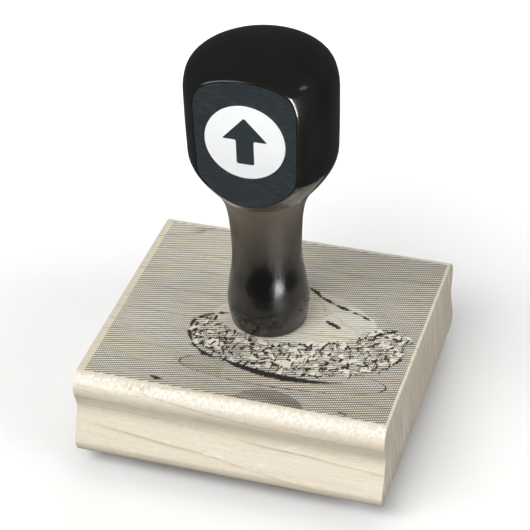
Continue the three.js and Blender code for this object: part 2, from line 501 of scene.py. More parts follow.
@dataclass(frozen=True)
class LabelInk(Finish):
    """Screen-printed black label ink: a thin matt film with a slight blue cast."""

    name: str = "screen-printed label ink"
    colour: str = "#262D31"
    thick: str = "#2E363B"

    def shade(self, nodes: Nodes) -> dict[str, Any]:
        """Builds the nodes, as Finish.shade says. The screen's mesh marks are 0.2 mm."""
        add = nodes.add
        marks = nodes.pattern(0.2, 0.2, 0.2)
        return {
            "Base_Color": add("MixRGB", marks, self.colour, self.thick),
            "Roughness": add("MapRange", marks, 0.3, 0.7, 0.4, 0.55),
            "IOR": 1.5,
            "Normal": add("Bump", Distance=0.002 * MM, Height=marks),
        }


@dataclass(frozen=True)
class ZincSteel(Finish):
    """Bright zinc-plated screw steel: silver with a blue cast and fine turning marks."""

    name: str = "zinc-plated steel"
    colour: str = "#C6CBCF"
    stained: str = "#B9B6A6"

    def shade(self, nodes: Nodes) -> dict[str, Any]:
        """Builds the nodes, as Finish.shade says. The turning marks are 0.08 mm apart."""
        add = nodes.add
        marks = nodes.pattern(3, 3, 0.08, Detail=3.0)
        stain = nodes.pattern(2, 2, 2)
        return {
            "Base_Color": add("MixRGB", stain, self.colour, self.stained),
            "Metallic": 1.0,
            "Roughness": add("MapRange", marks, 0.3, 0.7, 0.22, 0.4),
            "Normal": add("Bump", Distance=0.004 * MM, Height=marks),
        }


@dataclass(frozen=True)
class AdhesiveFilm(Finish):
    """Double-sided acrylic mounting film: milky, with small trapped bubbles."""

    name: str = "acrylic mounting film"
    colour: str = "#EFEADB"
    bubbled: str = "#D9D2BE"

    def shade(self, nodes: Nodes) -> dict[str, Any]:
        """Builds the nodes, as Finish.shade says. The bubbles are 0.8 mm apart."""
        add = nodes.add
        bubbles = nodes.pattern(0.8, 0.8, 0.8, Detail=3.0)
        share = add("MapRange", bubbles, 0.5, 0.7, 0.0, 1.0)
        return {
            "Base_Color": add("MixRGB", share, self.colour, self.bubbled),
            "Roughness": add("MapRange", bubbles, 0.3, 0.7, 0.25, 0.45),
            "IOR": 1.47,
            "Normal": add("Bump", Distance=0.01 * MM, Height=bubbles),
        }


@dataclass(frozen=True)
class CellFoam(Finish):
    """Closed-cell cushion foam: matt grey, its knife-cut edge a field of small open cells."""

    name: str = "closed-cell cushion foam"
    colour: str = "#8E9294"
    # Painted shade: the darker grey inside each open cell.
    hollow: str = "#5F6365"

    def shade(self, nodes: Nodes) -> dict[str, Any]:
        """Builds the nodes, as Finish.shade says. The cells are 0.32 mm across."""
        add = nodes.add
        cells = nodes.pattern(0.32, 0.32, 0.32, kind="TexVoronoi")
        # Painted shade: each open cell's hollow is darker, as shade falls in it.
        wall = add("MapRange", cells, 0.25, 0.6, 0.0, 1.0)
        return {
            "Base_Color": add("MixRGB", wall, self.hollow, self.colour),
            "Roughness": add("MapRange", cells, 0.2, 0.7, 0.95, 0.8),
            "IOR": 1.45,
            "Sheen_Weight": 0.15,
            "Normal": add("Bump", Distance=0.06 * MM, Height=wall),
        }


@dataclass(frozen=True)
class BrickRubber(Finish):
    """Laser-cut natural rubber: matt brick red, a little dusty, with fine scan lines."""

    name: str = "laser-engraved natural rubber"
    colour: str = "#9C4636"
    dust: str = "#B5705F"

    def shade(self, nodes: Nodes) -> dict[str, Any]:
        """Builds the nodes, as Finish.shade says. The laser's scan lines are 0.18 mm apart."""
        add = nodes.add
        scan = nodes.pattern(14, 0.18, 4, Detail=3.0)
        powder = nodes.pattern(2.2, 2.2, 2.2, Detail=4.0)
        share = add("MapRange", powder, 0.45, 0.75, 0.0, 0.6)
        return {
            "Base_Color": add("MixRGB", share, self.colour, self.dust),
            "Roughness": add("MapRange", powder, 0.3, 0.7, 0.62, 0.82),
            "IOR": 1.52,
            "Normal": add("Bump", Distance=0.02 * MM, Height=scan),
        }


@dataclass(frozen=True)
class GlowBoard(Finish):
    """Translucent white acrylic board: matt, and lit from below all round the stamp.

    The glow starts clear of the stamp, so that its own shadow stays, and evens out the far floor.
    """

    name: str = "translucent acrylic board"
    colour: str = "#FCFCFB"
    toothed: str = "#F9F9F8"
    glow_starts_m: float = 0.06
    glow_full_m: float = 0.42

    def shade(self, nodes: Nodes) -> dict[str, Any]:
        """Builds the nodes, as Finish.shade says. The tooth is 1.5 mm across."""
        add = nodes.add
        tooth = nodes.pattern(1.5, 1.5, 1.5)
        away = add("VectorMath", nodes.place, operation="LENGTH", output="Value")
        reach = (self.glow_starts_m, self.glow_full_m)
        return {
            "Base_Color": add("MixRGB", tooth, self.colour, self.toothed),
            "Roughness": add("MapRange", tooth, 0.3, 0.7, 0.82, 0.9),
            "Emission_Color": "#FFFFFF",
            "Emission_Strength": add("MapRange", away, *reach, 0.0, 0.9),
        }


# ---- Mesh helpers ----


def spline(stations: Sequence[tuple[float, float]], steps: int) -> list[tuple[float, float]]:
    """Draws a smooth curve through stations.

    Args:
        stations: The points that the curve passes through.
        steps: How many pieces to cut each gap between stations into.

    Returns:
        The points along a Catmull-Rom curve.
    """
    guide = [stations[0], *stations, stations[-1]]
    curve = []
    for a, b, c, d in zip(guide, guide[1:], guide[2:], guide[3:]):
        for t in np.arange(0, 1, 1 / steps):
            weights = (
                (-t + 2 * t**2 - t**3) / 2,
                (2 - 5 * t**2 + 3 * t**3) / 2,
                (t + 4 * t**2 - 3 * t**3) / 2,
                (t**3 - t**2) / 2,
            )
            curve.append(tuple(sum(w * p[k] for w, p in zip(weights, (a, b, c, d))) for k in (0, 1)))
    return [*curve, stations[-1]]


def spun(profile: Sequence[tuple[float, float]], steps: int) -> bmesh.types.BMesh:
    """Turns a profile about the Z axis.

    Args:
        profile: Points as radius and height in metres. A radius of 0 makes a pole.
        steps: How many segments the full turn has.

    Returns:
        The turned mesh, closed where the profile starts and ends on the axis.
    """
    bm = bmesh.new()
    points = [bm.verts.new((r, 0, z)) for r, z in profile]
    edges = [bm.edges.new(pair) for pair in zip(points, points[1:])]
    bmesh.ops.spin(
        bm,
        geom=points + edges,
        cent=(0, 0, 0),
        axis=(0, 0, 1),
        angle=math.tau,
        steps=steps,
        use_merge=True,
    )
    bmesh.ops.remove_doubles(bm, verts=bm.verts, dist=0.002 * MM)
    bmesh.ops.recalc_face_normals(bm, faces=bm.faces)
    return bm


def extrude_face(bm: bmesh.types.BMesh, face: bmesh.types.BMFace, along: Vector) -> None:
    """Closes a face into a solid by extruding it along a vector."""
    made = bmesh.ops.extrude_face_region(bm, geom=[face])["geom"]
    moved = [v for v in made if isinstance(v, bmesh.types.BMVert)]
    bmesh.ops.translate(bm, verts=moved, vec=along)
    bmesh.ops.recalc_face_normals(bm, faces=bm.faces)


def bevel(
    bm: bmesh.types.BMesh,
    geom: Sequence[Any],
    width: float,
    segments: int = 2,
    affect: str = "EDGES",
) -> None:
    """Rounds edges, or the corners of a flat outline, by a width in metres."""
    bmesh.ops.bevel(
        bm,
        geom=geom,
        offset=width,
        offset_type="OFFSET",
        affect=affect,
        segments=segments,
        profile=0.5,
        material=-1,
        clamp_overlap=True,
    )


def gridded(low: Vector, high: Vector, z: float, cell: float) -> bmesh.types.BMesh:
    """Grids the footprint of a box.

    Args:
        low: The box's low corner.
        high: The box's high corner.
        z: The grid's height in metres.
        cell: The size of its cells in metres.

    Returns:
        The flat grid.
    """
    size, middle = high - low, (high + low) / 2
    bm = bmesh.new()
    columns, rows = round(size.x / cell), round(size.y / cell)
    bmesh.ops.create_grid(bm, x_segments=columns, y_segments=rows, size=0.5)
    shape = Matrix.Translation((middle.x, middle.y, z)) @ Matrix.Diagonal((size.x, size.y, 1, 1))
    bmesh.ops.transform(bm, matrix=shape, verts=bm.verts)
    return bm


def open_rim(bm: bmesh.types.BMesh) -> list[bmesh.types.BMEdge]:
    """Gives the edges round a mesh's openings."""
    return [e for e in bm.edges if e.is_boundary]


def skirt(bm: bmesh.types.BMesh) -> list[bmesh.types.BMVert]:
    """Extrudes the edges round a mesh's openings, and gives the new points, not yet moved."""
    made = bmesh.ops.extrude_edge_only(bm, edges=open_rim(bm))["geom"]
    return [v for v in made if isinstance(v, bmesh.types.BMVert)]


@dataclass
class Piece:
    """What a mesh needs to become part of the object."""

    name: str
    body: Body
    slot: str
    finishes: Sequence[Finish]
    replaces: str | None = None

    def place(
        self,
        bm: bmesh.types.BMesh,
        cutters: Sequence[bmesh.types.BMesh] = (),
        sharp: float = SMOOTH_ANGLE,
    ) -> bpy.types.Object:
        """Turns the mesh into a finished, riding object.

        Args:
            bm: The mesh in the frame's coordinates. It is freed.
            cutters: Closed meshes to cut out of it. They are freed.
            sharp: Edges with a sharper turn than this stay crisp.

        Returns:
            The placed object.

        Raises:
            ValueError: If nothing is left of the mesh.
        """
        piece = self.scene_object(self.name, bm)
        for finish in self.finishes:
            piece.data.materials.append(finish.material())
        for cutter in cutters:
            self.cut(piece, cutter)
        if not piece.data.polygons:
            raise ValueError(f"{self.name} has no faces")
        piece.data.shade_smooth()
        piece.data.set_sharp_from_angle(angle=sharp)
        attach(piece, self.body.value)
        if self.replaces:
            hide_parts(self.replaces)
        LOG.info("%s: %d faces on %s", self.name, len(piece.data.polygons), self.body.value)
        return piece

    @staticmethod
    def scene_object(name: str, bm: bmesh.types.BMesh) -> bpy.types.Object:
        """Puts a mesh in the scene as an object, its faces pointing outwards, and frees it."""
        bmesh.ops.recalc_face_normals(bm, faces=bm.faces)
        mesh = bpy.data.meshes.new(name)
        bm.to_mesh(mesh)
        bm.free()
        made = bpy.data.objects.new(name, mesh)
        bpy.context.scene.collection.objects.link(made)
        return made

    def cut(self, piece: bpy.types.Object, cutter: bmesh.types.BMesh) -> None:
        """Cuts a closed mesh out of a piece, and keeps the result as plain mesh.

        Args:
            piece: The object to cut.
            cutter: The mesh to take away. It is freed.
        """
        tool = self.scene_object("cutting_tool", cutter)
        boolean = piece.modifiers.new("cut", "BOOLEAN")
        boolean.object = tool
        boolean.operation = "DIFFERENCE"
        boolean.solver = "EXACT"
        bpy.context.view_layer.update()
        seen = piece.evaluated_get(bpy.context.evaluated_depsgraph_get())
        result = bpy.data.meshes.new_from_object(seen)
        piece.modifiers.clear()
        old, piece.data = piece.data, result
        bpy.data.meshes.remove(old)
        bpy.data.meshes.remove(tool.data)


# ---- The picture ----


@dataclass(frozen=True)
class Oval:
    """An ellipse in the picture, in millimetres from the block's centre."""

    x: float
    y: float
    length: float
    width: float
    tilt_deg: float = 0

    def turned(self, x: np.ndarray, y: np.ndarray) -> tuple[np.ndarray, np.ndarray]:
        """Gives how far each point is from the centre, along the oval and across it."""
        tilt = math.radians(self.tilt_deg)
        along = (x - self.x) * math.cos(tilt) + (y - self.y) * math.sin(tilt)
        across = (y - self.y) * math.cos(tilt) - (x - self.x) * math.sin(tilt)
        return along, across

    def level(self, x: np.ndarray, y: np.ndarray) -> np.ndarray:
        """Gives each point's distance from the centre, counted as 1 on the outline."""
        along, across = self.turned(x, y)
        return np.hypot(along / self.length, across / self.width)

    def outline(self, x: np.ndarray, y: np.ndarray, half_line: float) -> np.ndarray:
        """Gives a thin line along the edge, from 1 on it to 0 at half_line millimetres away."""
        away = np.hypot(x - self.x, y - self.y) * abs(1 - 1 / np.maximum(self.level(x, y), 0.1))
        return np.clip(1 - away / half_line, 0, 1)


@dataclass(frozen=True)
class Chip(Oval):
    """A snipped straw end in the picture: a patch that narrows towards one end."""

    taper: ClassVar[float] = 0.55

    def level(self, x: np.ndarray, y: np.ndarray) -> np.ndarray:
        """Gives each point's distance from the centre, counted as 1 on the outline."""
        along, across = self.turned(x, y)
        narrowed = self.width * np.maximum(1 - self.taper * along / self.length, 0.2)
        return np.maximum(abs(along) / self.length, abs(across) / narrowed)


@dataclass(frozen=True)
class PenStroke:
    """An inked line through points given as x, y and width in millimetres."""

    tone: float
    points: tuple[tuple[float, float, float], ...]

    def draw(self, tone: np.ndarray, x: np.ndarray, y: np.ndarray, ragged: np.ndarray) -> None:
        """Inks the line onto a tone field.

        Args:
            tone: The field of ink from 0 to 1, changed in place.
            x: Each point's x in millimetres.
            y: Each point's y in millimetres.
            ragged: A noise from 0 to 1 that roughens the line's edge.
        """
        for (ax, ay, aw), (bx, by, bw) in zip(self.points, self.points[1:]):
            run, rise = bx - ax, by - ay
            share = ((x - ax) * run + (y - ay) * rise) / (run**2 + rise**2)
            share = np.clip(share, 0, 1)
            away = np.hypot(x - ax - share * run, y - ay - share * rise)
            width = (aw + (bw - aw) * share) * (0.7 + 0.6 * ragged)
            inside = np.clip(0.5 + (width / 2 - away) / 0.22, 0, 1)
            tone += inside * np.maximum(self.tone - tone, 0)


@dataclass(frozen=True)
class SunHatPicture:
    """A straw sun hat with a shaggy brim, its shadow and the blurred ground behind it.

    The picture is drawn here, for the print on the block and for the die's relief alike. An ink is
    from 0 for bare to 1 for solid.
    """

    dome_ink: float = 0.26
    lobe_ink: float = 0.11
    line_ink: float = 0.5
    crown_ink: float = 0.36
    hollow_ink: float = 0.27
    straw_ink: float = 0.6
    half_line: float = 0.36
    seed: int = 7
    straws: int = 1900
    gaps: float = 0.4
    brim: Oval = Oval(9.2, -7.4, 26.5, 13.0, 5)
    brim_top: float = -0.6
    hollow: Oval = Oval(6.6, -0.2, 20.1, 8.8, 6)
    crown: Oval = Oval(8.5, -2.0, 20.5, 14.5, -14)
    cast: Oval = Oval(9.4, -20.7, 25.0, 5.0, 3)
    lobe_x: float = -4.5
    dome: Oval = Oval(9.2, -34.5, 9.6, 7.6)
    tail: Oval = Oval(29.5, -2.5, 6.5, 4.4, 24)
    strokes: tuple[PenStroke, ...] = (
        PenStroke(1, ((-6.5, -18.6, 0.3), (-2, -20.3, 1.3), (4, -21.5, 2.0), (11, -22.0, 2.0))),
        PenStroke(1, ((11, -22.0, 2.0), (17.5, -21.6, 1.2), (24, -20.2, 0.2))),
        PenStroke(1, ((6.5, 13.3, 0.4), (8.6, 12.0, 1.2), (10.6, 10.2, 0.4), (12.5, 9.3, 1.1))),
        PenStroke(1, ((12.5, 9.3, 1.1), (14.4, 8.3, 0.3), (16.9, 7.4, 1.3), (18.8, 6.9, 0.2))),
        PenStroke(1, ((20.0, 6.3, 0.9), (21.5, 5.9, 0.2), (23.3, 5.0, 0.9), (24.4, 4.2, 0.1))),
        PenStroke(1, ((-9.8, -1.6, 0.3), (-11.6, -2.2, 1.0), (-12.6, -2.5, 0.1))),
        PenStroke(1, ((-13.4, -3.0, 0.8), (-15.0, -3.8, 0.4), (-16.0, -5.0, 1.1))),
        PenStroke(1, ((-17.0, -6.4, 1.2), (-17.3, -8.2, 0.9), (-17.0, -9.6, 0.1))),
        PenStroke(1, ((-16.9, -11.0, 1.1), (-15.9, -13.0, 0.8), (-15.0, -14.4, 0.2))),
        PenStroke(1, ((-14.4, -15.4, 1.1), (-12.8, -16.6, 0.4), (-11.0, -18, 1.2), (-8, -19, 0.5))),
        PenStroke(1, ((-20.4, -29.2, 0.3), (-18.7, -29.8, 1.3), (-17, -30, 0.3))),
        PenStroke(0.9, ((26.0, -30.4, 0.7), (27.8, -30.6, 0.7))),
        PenStroke(1, ((14.4, 1.2, 0.8), (16, 0.5, 1.3), (17.7, -0.3, 1.0))),
        PenStroke(0.55, ((8.4, 1.6, 0.2), (12.6, 2.6, 0.3), (14.6, 5.2, 0.2), (16.6, 6.2, 0.2))),
        PenStroke(0.5, ((16.5, 3.6, 0.2), (18.4, 1.4, 0.3), (21.4, 0.2, 0.2), (23.6, -1.8, 0.2))),
        PenStroke(0.5, ((9.2, 9.6, 0.2), (11.8, 7.4, 0.3), (13.2, 4.6, 0.2))),
        PenStroke(0.5, ((-29.8, -26.3, 0.5), (-28.6, -26.6, 0.5))),
    )

    def ground(self, x: np.ndarray, y: np.ndarray) -> np.ndarray:
        """Tones the ground: mid grey, deeper to the front and the right, softly mottled."""
        front = np.clip((-y - 4) / 28, 0, 1)
        right = np.clip((x - 2) / 30, 0, 1)
        mottle = np.sin(x * 0.31 + 1.7 * np.sin(y * 0.21)) * np.sin(y * 0.47 + x * 0.11)
        streak = np.sin(y * 1.9 + 0.9 * np.sin(x * 0.17)) * np.sin(x * 0.13 + y * 0.6)
        return 0.452 + 0.1 * front + 0.11 * right + 0.02 * mottle + 0.025 * streak

    def shaggy(self, x: np.ndarray, y: np.ndarray) -> np.ndarray:
        """Says which points are on the straw: the brim outside the hollow, and its far tail."""
        band = (self.brim.level(x, y) < 0.98) & (self.hollow.level(x, y) > 1)
        band &= y < self.brim_top
        return band | (self.tail.level(x, y) < 1)

    def straw_band(self, tone: np.ndarray, x: np.ndarray, y: np.ndarray) -> None:
        """Lays short pale straws over the brim, each over the last with a black edge under it.

        Args:
            tone: The field of ink from 0 to 1, changed in place.
            x: Each point's x in millimetres.
            y: Each point's y in millimetres.
        """
        rng = np.random.default_rng(self.seed)
        for _ in range(self.straws):
            px, py = rng.uniform(-18.5, 36.5), rng.uniform(-21.5, 6)
            turn = rng.choice([-50, 10, 55]) + rng.normal(0, 18)
            length, width = rng.uniform(0.5, 1.35), rng.uniform(0.36, 0.66)
            shade = rng.choice([0.0, 0.1, 0.34, 0.46, 0.58])
            drop = rng.choice([0.14, 0.26, 0.42])
            gap = rng.random() < self.gaps
            if not self.shaggy(np.array(px), np.array(py)):
                continue
            near = np.flatnonzero((abs(x - px) < 2) & (abs(y - py) < 2))
            chips = [(Chip(px, py, 0.7 * length, 0.5 * width, turn), 1.0)]
            if not gap:
                chips = [
                    (Chip(px + drop, py - drop, length, width, turn), 1.0),
                    (Chip(px, py, length, width, turn), shade),
                ]
            for chip, ink in chips:
                tone[near[chip.level(x[near], y[near]) < 1]] = ink

    def tone(self, x: np.ndarray, y: np.ndarray) -> np.ndarray:
        """Gives the ink at each point.

        Args:
            x: Each point's x in millimetres from the block's centre.
            y: Each point's y in millimetres.

        Returns:
            The ink, from 0 for bare to 1 for solid.
        """
        ragged = np.random.default_rng(self.seed).random(x.shape)
        tone = self.ground(x, y)
        tone[self.dome.level(x, y) < 1] += self.dome_ink
        tone[(self.cast.level(x, y) < 1) & (x < self.lobe_x)] += self.lobe_ink
        tone += self.line_ink * self.cast.outline(x, y, self.half_line)
        above_brim = (self.crown.level(x, y) < 1) & (y > -6)
        tone[above_brim] = self.crown_ink + 0.06 * np.sin(y * 2.2 + np.sin(x))[above_brim]
        tone[self.hollow.level(x, y) < 1] = self.hollow_ink
        tone[self.shaggy(x, y)] = self.straw_ink
        self.straw_band(tone, x, y)
        for stroke in self.strokes:
            stroke.draw(tone, x, y, ragged)
        return np.clip(tone, 0, 1)


# ---- The block ----


@dataclass
class MountBlock:
    """The moulded maple block with the picture on its top.

    Both long edges have a bullnose over a cove and a rounded bead. Both ends are sawn square.
    """

    nose_flat: float = 31.5 * MM
    nose_reach: float = 35.0 * MM
    nose_drop: float = 4.2 * MM
    nose_under_deg: float = -32
    cove: tuple[float, float] = (33.7 * MM, -10.2 * MM)
    shoulder: tuple[float, float] = (35.9 * MM, -16.0 * MM)
    bead: tuple[float, float] = (36.8 * MM, -18.4 * MM)
    foot: float = 35.0 * MM
    arris: float = 0.28 * MM
    bore: float = 2.7 * MM
    sink_radius: float = 5.0 * MM
    sink_depth: float = 0.95 * MM
    sink_deg: float = 41
    low: Vector = field(default_factory=lambda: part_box("block")[0])
    high: Vector = field(default_factory=lambda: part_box("block")[1])
    print_cell: float = 0.24 * MM

    def edge_outline(self) -> list[tuple[float, float]]:
        """Gives one moulded edge from the top face down, as reach and height below the top."""
        start, end = math.pi / 2, math.radians(self.nose_under_deg)
        angles = np.linspace(start, end, 25)
        nose_width = self.nose_reach - self.nose_flat
        nose = [
            (self.nose_flat + nose_width * math.cos(a), self.nose_drop * (math.sin(a) - 1))
            for a in angles
        ]
        cove = spline([nose[-1], self.cove, self.shoulder, self.bead], 10)
        height = self.high.z - self.low.z
        turn = np.linspace(0, 1, 9)[1:]
        corner = (self.bead[0], -height + 0.3 * MM)
        bead = [
            (
                (1 - t) ** 2 * self.bead[0] + 2 * t * (1 - t) * corner[0] + t**2 * self.foot,
                (1 - t) ** 2 * self.bead[1] + 2 * t * (1 - t) * corner[1] - t**2 * height,
            )
            for t in turn
        ]
        return [*nose, *cove[1:], *bead]

    def moulding(self) -> bmesh.types.BMesh:
        """Extrudes the section along X and eases the sawn ends."""
        bm = bmesh.new()
        front = [(-reach, drop) for reach, drop in self.edge_outline()]
        section = [*front, *[(-y, z) for y, z in reversed(front)]]
        corners = [bm.verts.new((self.low.x, y, self.high.z + z)) for y, z in section]
        extrude_face(bm, bm.faces.new(corners), Vector((self.high.x - self.low.x, 0, 0)))
        ends = [e for e in bm.edges if abs(e.verts[0].co.x - e.verts[1].co.x) < MM]
        bevel(bm, ends, self.arris)
        for face in bm.faces:
            face.material_index = int(abs(face.normal.x) > 0.9)
        return bm

    def screw_hole(self) -> bmesh.types.BMesh:
        """Turns the countersunk clearance hole for the handle's screw."""
        under, over = self.low.z - MM, self.high.z + MM
        mouth = self.low.z + self.sink_depth
        throat = mouth + (self.sink_radius - self.bore) / math.tan(math.radians(self.sink_deg))
        sink = [(0, under), (self.sink_radius, under), (self.sink_radius, mouth)]
        return spun([*sink, (self.bore, throat), (self.bore, over), (0, over)], 48)

    def printed_film(self, picture: SunHatPicture) -> bmesh.types.BMesh:
        """Grids the film finely enough to carry the picture, with the screw's hole in it.

        Args:
            picture: What is printed on it.

        Returns:
            The closed film, with the picture's ink in a point attribute.
        """
        low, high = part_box("index_print")
        bm = gridded(low, high, high.z, self.print_cell)
        inside = [v for v in bm.verts if v.co.xy.length < self.bore]
        bmesh.ops.delete(bm, geom=inside, context="VERTS")
        rim = [v for v in bm.verts if v.is_boundary and v.co.xy.length < 2 * self.bore]
        for vert in rim:
            vert.co.xy = vert.co.xy.normalized() * self.bore
        self.ink(bm, picture)
        bmesh.ops.translate(bm, verts=skirt(bm), vec=(0, 0, low.z - high.z))
        bmesh.ops.triangle_fill(bm, edges=open_rim(bm), use_beauty=True, use_dissolve=False)
        return bm

    @staticmethod
    def ink(bm: bmesh.types.BMesh, picture: SunHatPicture) -> None:
        """Writes the picture's ink on each point of a mesh."""
        layer = bm.verts.layers.float.new(PrintedMaple.tone)
        places = np.array([v.co[:2] for v in bm.verts]) / MM
        for vert, ink in zip(bm.verts, picture.tone(places[:, 0], places[:, 1])):
            vert[layer] = ink

    def build(self, picture: SunHatPicture) -> None:
        """Builds the block and its printed film."""
        wood = (HardMaple(), MapleEndGrain())
        block = Piece("moulded_block", Body.BLOCK, "block", wood, "block")
        block.place(self.moulding(), [self.screw_hole()])
        film = Piece("picture_film", Body.BLOCK, "index_print", (PrintedMaple(),), "index_print")
        film.place(self.printed_film(picture))


# ---- The handle ----


@dataclass
class TurnedHandle:
    """The turned handle with its sanded flat, and the round label stuck there.

    A station is a radius and a height above the handle's base, in millimetres. An arris step is how
    far in from the flat's edge and how far out towards the flat, in millimetres.
    """

    neck: tuple[tuple[float, float], ...] = (
        (9.15, 0.4),
        (9.97, 5.8),
        (9.35, 11.6),
        (8.4, 18.8),
        (8.65, 28.2),
        (9.5, 34.2),
        (11.3, 38.6),
    )
    head: tuple[tuple[float, float], ...] = (
        (11.3, 38.6),
        (14.9, 43.3),
        (17.1, 47.6),
        (17.5, 52.5),
        (17.65, 62),
        (17.5, 67.4),
        (16.1, 71.2),
        (12.3, 73.8),
        (6.3, 75.1),
        (0, 75.4),
    )
    base_radius: float = 8.8
    pilot_radius: float = 2.7
    pilot_depth: float = 18.5
    flat_y: float = -12.77 * MM
    turn_steps: int = 144
    arris_steps: tuple[tuple[float, float], ...] = (
        (0.13, 0.11),
        (0.14, 0.09),
        (0.15, 0.055),
        (0.16, 0.02),
    )
    rim_spacing: float = 0.25 * MM
    flat_middle: float = 57 * MM
    low: Vector = field(default_factory=lambda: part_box("handle")[0])

    def profile(self) -> list[tuple[float, float]]:
        """Gives the turned outline from the pilot hole's end round to the top."""
        bore = [(0, self.pilot_depth), (self.pilot_radius, self.pilot_depth)]
        base = [(self.pilot_radius, 0), (self.base_radius, 0)]
        outline = [*bore, *base, *spline(self.neck, 9), *spline(self.head, 9)[1:]]
        return [(max(r, 0) * MM, self.low.z + z * MM) for r, z in outline]

    def knob(self) -> bmesh.types.BMesh:
        """Turns the handle, planes its flat and rounds the flat's edge.

        Returns:
            The handle, with its flat in the second material and its neck in the third.
        """
        bm = spun(self.profile(), self.turn_steps)
        depth = sum(out for _, out in self.arris_steps) * MM
        plane = Vector((0, self.flat_y + depth, 0))
        everything = [*bm.verts, *bm.edges, *bm.faces]
        bmesh.ops.bisect_plane(
            bm, geom=everything, dist=1e-7, plane_co=plane, plane_no=(0, -1, 0), clear_outer=True
        )
        rim = [v for v in bm.verts if v.is_boundary]
        # The cut leaves its points in a new order on each run, and the merge depends on it.
        rim.sort(key=lambda v: math.atan2(v.co.z - self.low.z - self.flat_middle, v.co.x))
        bmesh.ops.remove_doubles(bm, verts=rim, dist=self.rim_spacing)
        flat = bmesh.ops.edgeloop_fill(bm, edges=open_rim(bm))["faces"]
        bmesh.ops.recalc_face_normals(bm, faces=bm.faces)
        for inward, out in (*self.arris_steps, (0.3, 0)):
            bmesh.ops.inset_region(
                bm, faces=flat, thickness=inward * MM, depth=0, use_even_offset=True
            )
            bmesh.ops.translate(bm, verts=flat[0].verts, vec=(0, -out * MM, 0))
        for face in bm.faces:
            planed = all(abs(v.co.y - self.flat_y) < 0.001 * MM for v in face.verts)
            on_neck = face.calc_center_median().z < self.low.z + self.head[0][1] * MM
            face.material_index = 1 if planed else 2 * on_neck
        return bm

    def build(self) -> None:
        """Builds the handle and its label."""
        finishes = (BlackLacquer(), SandedLacquer(), NeckLacquer())
        handle = Piece("turned_handle", Body.GRIP, "handle", finishes, "handle")
        handle.place(self.knob(), sharp=math.radians(40))
        RoundLabel(self.flat_y).build()


@dataclass
class RoundLabel:
    """The round label: a white disc with an upward arrow that shows which way the picture is up."""

    seat_y: float
    arris: float = 0.06 * MM
    corner: float = 0.45 * MM
    ink_height: float = 0.02 * MM
    arrow: tuple[tuple[float, float], ...] = (
        (0, 6.4),
        (5.3, 0.6),
        (2.05, 0.6),
        (2.05, -5.6),
        (-2.05, -5.6),
        (-2.05, 0.6),
        (-5.3, 0.6),
    )
    low: Vector = field(default_factory=lambda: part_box("handle_label")[0])
    high: Vector = field(default_factory=lambda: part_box("handle_label")[1])

    def stand_up(self, bm: bmesh.types.BMesh, y: float) -> None:
        """Turns a flat outline to face the front and centres it on the label at a depth."""
        centre = (self.low + self.high) / 2
        upright = Euler((math.pi / 2, 0, 0)).to_matrix().to_4x4()
        place = Matrix.Translation((0, y, centre.z)) @ upright
        bmesh.ops.transform(bm, matrix=place, verts=bm.verts)

    def disc(self) -> bmesh.types.BMesh:
        """Makes the label's disc with a softened cut edge."""
        bm = bmesh.new()
        radius = (self.high.x - self.low.x) / 2
        bmesh.ops.create_circle(bm, cap_ends=True, segments=128, radius=radius)
        self.stand_up(bm, self.seat_y)
        front = self.low.y + self.ink_height
        extrude_face(bm, next(iter(bm.faces)), Vector((0, front - self.seat_y, 0)))
        rim = [e for e in bm.edges if all(abs(v.co.y - front) < 1e-7 for v in e.verts)]
        bevel(bm, rim, self.arris, 3)
        return bm

    def mark(self) -> bmesh.types.BMesh:
        """Makes the printed arrow, its corners slightly rounded."""
        bm = bmesh.new()
        outline = [bm.verts.new((x * MM, z * MM, 0)) for x, z in self.arrow]
        bm.faces.new(outline)
        bevel(bm, bm.verts[:], self.corner, 5, "VERTICES")
        self.stand_up(bm, self.low.y + self.ink_height)
        extrude_face(bm, next(iter(bm.faces)), Vector((0, -self.ink_height, 0)))
        return bm

    def build(self) -> None:
        """Builds the disc and its printed arrow."""
        disc = Piece("round_label", Body.GRIP, "handle_label", (LabelVinyl(),), "handle_label")
        disc.place(self.disc())
        Piece("label_arrow", Body.GRIP, "handle_label", (LabelInk(),)).place(self.mark())


# ---- The screw ----


